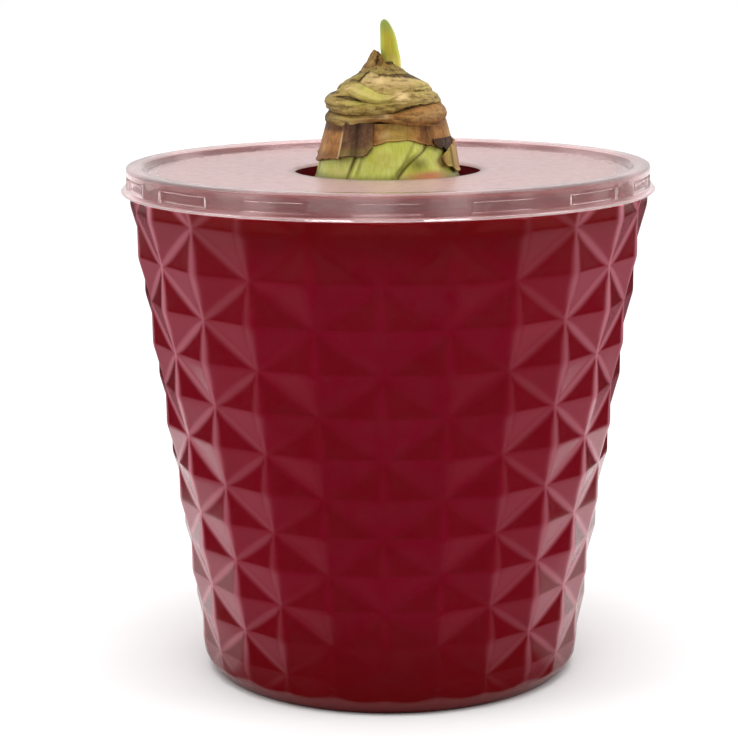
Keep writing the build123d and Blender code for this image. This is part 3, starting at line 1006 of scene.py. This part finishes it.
def build_neck_strips():
    # In the tones, crease is painted shade along edges, under the cap and in the notch, and pale is partly
    # painted highlight.
    neck_strip(
        "tan_strip_torn", "tan_tunic", "tan_strip", TAN_SKIN,
        low=[(-98, 155.6), (-80, 156), (-60, 157), (-42, 157.4)],
        high=[(0, 167.6)],
        outline=[(155, 21.3), (160, 19.8), (167, 17.9)],
        lift=0.3,
        seed=21.0,
        tones=lambda a, u, v: {
            "crease": 0.8 * eased(0.12, 0.0, u) + 0.4 * eased(0.35, 0.0, v) + 0.8 * eased(0.68, 0.84, v),
            "pale": 0.8 * bump(-44, 2.4, a) + 0.35 * bump(-70, 6, a) * bump(0.3, 0.3, v),
        },
    )
    neck_strip(
        "dark_tatter_torn", "dark_tunic", "dark_tatter", DARK_SKIN,
        low=[(-42.5, 158), (-28, 158.4), (-19, 158.8), (-13, 161.2)],
        high=[(0, 168)],
        outline=[(157, 20.5), (160, 19.7), (168, 17.6)],
        lift=0.7,
        seed=33.0,
        tones=lambda a, u, v: {
            "green": 0.2 * bump(0.12, 0.2, v),
            "crease": 0.45 * bump(0.5, 0.3, u) + 0.4 * eased(0.7, 0.9, v),
        },
    )
    neck_strip(
        "neck_skin_wrap", "tan_tunic", "neck_skin", TAN_SKIN,
        low=[
            (-17, 161.4), (0, 162.8), (14, 163.2), (26, 162.6), (38, 161.4),
            (60, 161.9), (90, 160.4), (180, 161), (276, 158),
        ],
        high=[(0, 167.8)],
        outline=[(158, 20.3), (162, 18.9), (168, 17.2)],
        lift=0.3,
        seed=45.0,
        tones=lambda a, u, v: {
            "pale": 0.45 * bump(-2, 9, a) * bump(0.35, 0.4, v) + 0.4 * bump(80, 14, a),
            "green": 0.35 * bump(10, 24, a),
            "crease": 0.35 * eased(0.45, 0.8, v) + 0.5 * bump(38, 14, a),
        },
    )
    neck_strip(
        "side_flap_torn", "tan_tunic", "side_flap", TAN_SKIN,
        low=[(50, 156.8), (56, 154.9), (62, 154.6), (70, 153), (90, 152.6), (128, 154)],
        high=[(50, 157.4), (58, 158.9), (66, 160.2), (84, 161.2), (110, 161.6), (128, 160)],
        outline=[(152, 21.3), (156, 20.7), (162, 19.6)],
        lift=0.35,
        seed=57.0,
        tones=lambda a, u, v: {
            "green": 0.5 * bump(62, 16, a),
            "pale": 0.45 * bump(78, 16, a),
            "crease": 0.6 * eased(0.08, 0.0, u) + 0.7 * bump(66, 4, a),
        },
    )
    # A dark sheet that paints the shade in the notch between the skins.
    neck_strip(
        "notch_shadow_skin", "dark_tunic", None, DARK_SKIN,
        low=[(44, 161.8), (51, 160.2), (56, 160.6), (62, 159), (70, 159.8), (76, 161)],
        high=[(0, 163)],
        outline=[(157, 20.5), (163, 18.9)],
        lift=0.35,
        seed=63.0,
        tones=lambda a, u, v: {"crease": 0.7},
    )


# Plain outline of the dry cap as (height, radius), at its left and at its right.
CAP_LEFT = [
    (163, 17.8), (168, 18.2), (172, 17.5), (175.2, 16.6),
    (178.3, 12.8), (180.6, 10), (183.8, 6.4), (186, 4.4),
]
CAP_RIGHT = [
    (163, 17.2), (168, 18.4), (171.5, 18.2), (174.6, 15.8), (177, 14),
    (179.2, 12), (181, 8.6), (183, 5.4), (186, 3.6),
]
CROWN_TOP = 184.8

# Edges of the cap's hem as (azimuth, height). The crown comes out of the upper one.
HEM_LOW = [
    (-180, 166.6), (-120, 166.2), (-88, 166.4), (-62, 166.2), (-39, 165.8), (-20, 167), (-4, 168.2),
    (7, 167), (24, 165.6), (45, 165), (66, 165.6), (90, 166.4), (130, 165.8), (180, 166.6),
]
HEM_HIGH = [
    (-180, 171), (-120, 170.8), (-88, 170.6), (-60, 170.8), (-30, 170.6), (-4, 171.4), (7, 171),
    (22, 172), (39, 172.8), (60, 173.4), (75, 173.8), (100, 172.8), (140, 171.4), (180, 171),
]

# Ridges of the folds as (azimuth, height), then each fold's half width, its lift and its tones. In the
# tones, crease is painted shade and pale is painted highlight.
CROWN_FOLDS = [
    (
        [(-150, 174.6), (-95, 173.6), (-60, 172.8), (-38, 172.2), (-15, 172.3), (7, 173.2),
         (26, 175), (46, 177)],
        2.3, 1.7, {},
    ),
    ([(-84, 176.4), (-46, 177.4), (-19, 176.6), (2, 176), (20, 176.8), (40, 177.2)], 2.1, 1.3, {}),
    (
        [(-46, 180.8), (-20, 180), (0, 179.2), (20, 179), (50, 178.6), (95, 177.2)],
        1.9, 1.4, {"pale": 0.35},
    ),
    ([(10, 173.8), (30, 174.6), (60, 174.8), (90, 174.4), (140, 173.4)], 2, 1.4, {"pale": 0.1}),
    (
        [(-100, 183.4), (-30, 183), (40, 182.8), (120, 182.8), (200, 183.4), (262, 183.4)],
        1.5, 0.5, {"crease": 0.3},
    ),
    (
        [(-130, 179.4), (-95, 178.6), (-62, 179.6), (-40, 182)],
        2.0, 1.2, {"green": 0.2, "crease": 0.3},
    ),
    ([(110, 178.6), (150, 177.2), (195, 176.4), (235, 178.2)], 2.2, 1.5, {}),
    ([(125, 174.6), (160, 172.6), (200, 172.4), (230, 174.2)], 2.2, 1.5, {"pale": 0.2}),
    ([(140, 181.2), (190, 180), (240, 180.4)], 1.9, 1.2, {"green": 0.2}),
]


def cap_radius(azimuth, z):
    """The cap's plain dome, before folds."""
    left, right = through(CAP_LEFT, z), through(CAP_RIGHT, z)
    return mix(right, left, 0.5 - 0.5 * math.sin(math.radians(azimuth)))


def crown_fold(azimuth, z):
    """The fold that stands out most at a place: (share of its lift, lift, tones)."""
    best = (0.0, 0.0, {})
    for points, half_width, lift, tones in CROWN_FOLDS:
        for turned in (azimuth, azimuth + TURN, azimuth - TURN):
            start, end = points[0][0], points[-1][0]
            if not start < turned < end:
                continue
            ends = eased(0, 16, min(turned - start, end - turned))
            wander = 0.35 * rough((turned / 9, half_width * 7, 0), 1.0, 2, 77.0)
            aside = (z - through(points, turned) - wander) / half_width
            rise = ends * max(0.0, 1 - aside * aside) ** 0.65
            if rise * lift > best[0] * best[1]:
                best = (rise, lift, tones)
    return best


def build_cap_crown():
    def edges(azimuth):
        return through(HEM_HIGH, azimuth) - 1.4, CROWN_TOP

    def pleats(azimuth, z):
        return rough((azimuth / 14, z * 1.3, 0), 1.2, 3, 71.0)

    def radius(azimuth, z, u, v):
        rise, lift, _ = crown_fold(azimuth, z)
        lumps = 0.30 * pleats(azimuth, z) + 0.30 * rough(polar(azimuth, 15, z), 3.0, 3, 73.0)
        return cap_radius(azimuth, z) - 1.1 + rise * lift + lumps

    def masks(azimuth, z, u, v):
        def spot(turn, width, middle, reach):
            return bump(turn, width, azimuth) * bump(middle, reach, z)

        rise, _, tones = crown_fold(azimuth, z)
        # Painted shade in the grooves between folds, in the pleats' hollows and along the lower edge, with
        # darker patches at the sides; the pale spots are painted highlight.
        crease = 0.8 * eased(0.62, 0.1, rise) + 0.5 * eased(-0.05, -0.6, pleats(azimuth, z))
        crease += 0.5 * eased(0.05, 0.0, v) + 0.21 * spot(75, 40, 173.5, 3) + 0.3 * spot(-88, 34, 176, 4)
        pale = spot(19, 13, 175.6, 2.4) + 0.5 * spot(-8, 16, 180.0, 1.6)
        green = 0.5 * spot(-22, 38, 174.2, 2.0) + 0.35 * spot(60, 30, 178, 3)
        shown = {"crease": crease, "pale": pale, "green": green}
        return {mask: value + tones.get(mask, 0) for mask, value in shown.items()}

    sheet(
        "cap_crown_folded", "olive_tunic", "cap_crown", OLIVE_SKIN,
        (-180, 180), (420, 150), 0.9, edges, radius, masks, aside=CAP_SHIFT,
    )


def rolled(first, last):
    """Share of the way up at each row of a roll, whose section is an arc between two angles."""
    return lambda v: 0.5 + 0.5 * math.sin(math.radians(mix(first, last, v)))


def build_cap_hem():
    """The roll round the cap's foot: its section is an arc that curls under."""
    first, last = -115, 80

    def edges(azimuth):
        return through(HEM_LOW, azimuth), through(HEM_HIGH, azimuth)

    def pleats(azimuth, z):
        return rough((azimuth / 12, z * 1.2, 0), 1.1, 3, 83.0)

    def radius(azimuth, z, u, v):
        out = (1.6 + bump(50, 52, azimuth)) * math.cos(math.radians(mix(first, last, v)))
        lumps = 0.28 * pleats(azimuth, z) + 0.28 * rough(polar(azimuth, 17, z), 3.2, 3, 85.0)
        return cap_radius(azimuth, z) - 1.9 + out + lumps

    def masks(azimuth, z, u, v):
        right, left = bump(50, 50, azimuth), bump(-50, 62, azimuth)
        # Painted shade under the roll, at its top edge and in the pleats' hollows, with darker patches at
        # the sides; the pale on the roll's upper side is painted highlight.
        crease = 0.5 * eased(-0.1, -0.7, pleats(azimuth, z))
        crease += 1.2 * eased(0.36, 0.14, v) + 0.8 * eased(0.84, 1.0, v) + 0.35 * right * bump(0.3, 0.25, v)
        crease += 0.7 * bump(-84, 18, azimuth) + 0.5 * bump(-66, 22, azimuth) + 0.5 * bump(92, 16, azimuth)
        pale = 0.9 * bump(-2, 12, azimuth) * bump(170.2, 1.4, z)
        pale += 0.45 * left * bump(0.62, 0.25, v) + 0.25 * right * bump(0.66, 0.2, v)
        return {"crease": crease, "pale": pale, "green": 0.3 * left}

    sheet(
        "cap_hem_roll", "brown_tunic", "cap_hem", BROWN_SKIN,
        (-180, 180), (420, 48), 0.7, edges, radius, masks, rolled(first, last), CAP_SHIFT,
    )


def build_cap_fold():
    """The fold that crosses the cap's front, green where it catches the light."""
    ridge = [(-62, 176.6), (-44, 177.6), (-20, 176), (-4, 174.8), (18, 176)]
    start, end = -60, 17
    first, last = -105, 75

    def edges(azimuth):
        along = clamp((azimuth - start) / (end - start), 0.04, 0.96)
        half_width = 2.1 * math.sin(math.pi * along) ** 0.6
        middle = through(ridge, azimuth)
        return middle - half_width, middle + half_width

    def radius(azimuth, z, u, v):
        out = 2.2 * math.sin(math.pi * clamp(u)) ** 0.5 * math.cos(math.radians(mix(first, last, v)))
        lumps = 0.22 * rough(polar(azimuth, 15, z), 2.2, 3, 91.0)
        return cap_radius(azimuth, z) - 0.9 + out + lumps

    def masks(azimuth, z, u, v):
        patches = 0.75 + 0.5 * rough(polar(azimuth, 15, z), 3.0, 2, 93.0)
        green = 0.9 * patches * eased(0.22, 0.5, v) * bump(0.58, 0.48, u)
        # Painted shade on the fold's underside and upper edge, and painted highlight along its top.
        crease = eased(0.30, 0.08, v) + 0.5 * eased(0.88, 1.0, v) + 0.25 * bump(0.5, 0.04, v)
        return {"green": green, "crease": crease, "pale": 0.5 * bump(0.62, 0.16, v)}

    sheet(
        "cap_fold_front", "brown_tunic", "cap_fold", OLIVE_SKIN,
        (start, end), (90, 40), 0.6, edges, radius, masks, rolled(first, last), CAP_SHIFT,
    )


def build_neck_peak():
    """Dry collar round the shoot, torn so that its left side ends in a point."""
    torn = [
        (-180, 184.2), (-112, 183.9), (-84, 186), (-68, 188.3), (-50, 188.2), (-30, 187.9),
        (-14, 187), (0, 185.4), (12, 184.2), (60, 183.8), (180, 184.2),
    ]
    outline = [(180.5, 8.8), (182, 7.2), (183.8, 6), (185.4, 4.9), (188.4, 3.6)]

    def edges(azimuth):
        ragged = 0.22 * rough(polar(azimuth, 5, 0), 1.0, 3, 99.0)
        return 180.6, min(188.6, through(torn, azimuth) + ragged)

    def radius(azimuth, z, u, v):
        side = 0.75 + 0.25 * math.cos(math.radians(azimuth + 75))
        lumps = 0.35 * rough(polar(azimuth, 6, z), 2.2, 3, 101.0)
        return through(outline, z) * side + lumps

    def masks(azimuth, z, u, v):
        grain = rough(polar(azimuth, 5, z), 1.4, 3, 103.0)
        # Painted shade in the grain's hollows, with darker patches at the sides; the pale patch is partly
        # painted highlight.
        crease = 0.2 + 0.45 * eased(0.3, -0.4, grain)
        crease += 0.45 * bump(-100, 42, azimuth) + 0.4 * bump(-30, 10, azimuth)
        pale = 0.5 * bump(-50, 14, azimuth) * bump(185.4, 2.0, z)
        return {"crease": crease, "pale": pale, "green": 0.15}

    sheet(
        "neck_peak_flap", "dark_tunic", "neck_peak", BROWN_SKIN,
        (-180, 180), (140, 44), 0.5, edges, radius, masks, aside=CAP_SHIFT,
    )


def blade(name, node, tip, lean, forward, half_width, half_depth):
    """A young leaf: an upright blade with a hollowed front, closed at its tip.

    lean, half_width and half_depth go by height, and lean is how far right its middle is.
    """
    columns, rows = 48, 90
    places = []
    masks = {"edge": [], "tip": [], "pale": []}
    for row in range(rows):
        z = mix(BLADE_BASE, tip, row / (rows - 1))
        width, depth = through(half_width, z), through(half_depth, z)
        middle = Vector((through(lean, z), forward, 0))
        for column in range(columns):
            angle = math.tau * column / columns
            across, out = math.sin(angle), -math.cos(angle)
            hollow = 0.30 * depth * (1 - across**2) * (out < 0)
            rib = 1 + 0.03 * math.sin(9 * angle)
            spot = Vector((width * across * rib, depth * out * rib + hollow, z))
            places.append(middle + spot)
            masks["edge"].append(eased(0.35, 1.0, abs(across)))
        masks["tip"] += [eased(tip - 6, tip - 0.3, z)] * columns
        masks["pale"] += [0.8 * eased(187.5, 184.5, z)] * columns
    faces = grid_faces(columns, rows, closed=True)
    faces.append(tuple(reversed(range(columns))))
    faces.append(tuple(range((rows - 1) * columns, rows * columns)))
    belongs(new_mesh(name, places, faces, SHOOT, masks), "bulb", "shoot_green", node)


def build_shoot():
    tip = SHOOT_TIP - 0.1
    blade(
        "shoot_tip", "shoot", tip,
        lean=[(150, 0.6), (184.6, 1.2), (188.6, 0.65), (192.6, 0.2), (196.5, -0.7), (tip, -0.8)],
        forward=-0.6,
        half_width=[
            (150, 2.8), (184.6, 2.8), (188.6, 2.65), (192.6, 2.25), (195.4, 1.6), (196.6, 1.1), (tip, 0.35),
        ],
        half_depth=[(150, 1.7), (187, 1.6), (194, 1.1), (196.6, 0.7), (tip, 0.25)],
    )
    blade(
        "second_leaf_tip", "second_leaf", 187.5,
        lean=[(150, 0.6)],
        forward=3.0,
        half_width=[(150, 2.4), (183, 1.8), (187.5, 0.3)],
        half_depth=[(150, 1), (183, 0.8), (187.5, 0.2)],
    )


def finish_hidden_nodes():
    """CAD nodes that stay as they are get their finished materials."""
    finishes = {
        "grow_pot": BLACK,
        "middle_scale": PALE_FLESH,
        "inner_scale": PALE_FLESH,
        "flower_stem": PALE_FLESH,
        "flower_bud": BUD_FLESH,
    }
    for node, material in finishes.items():
        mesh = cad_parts[node].data
        mesh.materials.clear()
        mesh.materials.append(material)


# --- Studio ---

CAMERA_PLACE = (0.0, -0.7123, 0.2316)
CAMERA_TARGET = (-0.00607, 0.0, 0.0915)
CAMERA_ROLL = -0.0074
CAMERA_LENS = 115.95
SENSOR = 36.0
WORLD_FRONT = 0.06
WORLD_BACK = 0.80
SIDE_WATTS = 3.0
SOFTBOX_SIZE = (0.5, 0.8)
SOFTBOX_AIM = (0, 0, 0.09)
OVERHEAD_STRENGTH = 2.7
OVERHEAD_SPREAD = 60.0
OVERHEAD_TILT = 14.0
CARD_RADIUS = 1300.0
CARD_HOLE_FRONT = 60.0
CARD_HOLE_BACK = 260.0
FLOOR_HALF = 4000.0


def build_floor():
    corners = [(-1, -1), (1, -1), (1, 1), (-1, 1)]
    places = [(x * FLOOR_HALF, y * FLOOR_HALF, 0) for x, y in corners]
    new_mesh("studio_floor", places, [(0, 1, 2, 3)], floor_paint())


def build_lamp(light):
    """Puts a light on the stage, where reflections don't show it."""
    lamp = bpy.data.objects.new(light.name, light)
    lamp.visible_glossy = False
    bpy.context.scene.collection.objects.link(lamp)
    return lamp


def build_softbox(name, place):
    light = bpy.data.lights.new(name, "AREA")
    light.shape = "RECTANGLE"
    light.size, light.size_y = SOFTBOX_SIZE
    light.energy = SIDE_WATTS
    lamp = build_lamp(light)
    lamp.location = place
    lamp.rotation_mode = "QUATERNION"
    lamp.rotation_quaternion = (Vector(SOFTBOX_AIM) - Vector(place)).to_track_quat("-Z", "Y")
    lamp.visible_camera = False


def build_card():
    """A black card on the floor round the pot, further off behind it than in front."""
    steps = 120
    places = []
    for step in range(steps):
        azimuth = TURN * step / steps
        near = mix(CARD_HOLE_FRONT, CARD_HOLE_BACK, eased(60, 125, abs(around(azimuth, 0))))
        places += [polar(azimuth, near, 1.0), polar(azimuth, CARD_RADIUS, 1.0)]
    faces = []
    for step in range(steps):
        near, beside = 2 * step, 2 * ((step + 1) % steps)
        faces.append((near, near + 1, beside + 1, beside))
    nodes = Nodes("black_card")
    nodes.set(Base_Color=(0.02, 0.02, 0.02, 1), Roughness=1.0, Specular_IOR_Level=0.0)
    card = new_mesh("black_card", places, faces, nodes.block)
    # It only shows in reflections, as a photographer's flag does.
    card.visible_camera = False
    card.visible_diffuse = False
    card.visible_shadow = False
    card.visible_transmission = False


def build_world():
    """White behind the object and dim in front of it; the camera itself sees plain white."""
    nodes = Nodes("studio", bpy.data.worlds, "Background")
    behind = nodes.add("SeparateXYZ", {"Vector": nodes.coordinates["Generated"]})["Y"]
    glow = nodes.ranged(behind, -0.35, 0.35, WORLD_FRONT, WORLD_BACK)
    seen_directly = nodes.add("LightPath", {})["Is Camera Ray"]
    strength = nodes.add("Mix", {"Factor": seen_directly, "A": glow, "B": 1.0})["Result"]
    nodes.set(Color=(1, 1, 1, 1), Strength=strength)
    bpy.context.scene.world = nodes.block


def build_studio():
    build_floor()
    build_card()
    build_world()
    build_softbox("side_left", (-0.8, -0.25, 0.45))
    build_softbox("side_right", (0.8, -0.25, 0.45))
    sky = bpy.data.lights.new("overhead", "SUN")
    sky.energy = OVERHEAD_STRENGTH
    sky.angle = math.radians(OVERHEAD_SPREAD)
    build_lamp(sky).rotation_euler = (math.radians(OVERHEAD_TILT), 0, 0)


def build_camera():
    camera = bpy.data.cameras.new("camera")
    camera.lens = CAMERA_LENS
    camera.sensor_width = SENSOR
    camera.clip_start = 0.01
    camera.clip_end = 50
    rig = bpy.data.objects.new("camera", camera)
    rig.location = CAMERA_PLACE
    aim = (Vector(CAMERA_TARGET) - Vector(CAMERA_PLACE)).to_track_quat("-Z", "Y").to_matrix().to_4x4()
    rig.rotation_mode = "QUATERNION"
    rig.rotation_quaternion = (aim @ Matrix.Rotation(CAMERA_ROLL, 4, "Z")).to_quaternion()
    bpy.context.scene.collection.objects.link(rig)
    bpy.context.scene.camera = rig


build_pot()
build_lid()
build_medium()
build_coir_fibres()
build_tunic()
build_fleshy_scale()
build_roots()
build_basal_plate()
build_neck_strips()
build_cap_crown()
build_cap_hem()
build_cap_fold()
build_neck_peak()
build_shoot()
finish_hidden_nodes()
build_studio()
build_camera()
bpy.context.scene.view_settings.view_transform = "Standard"
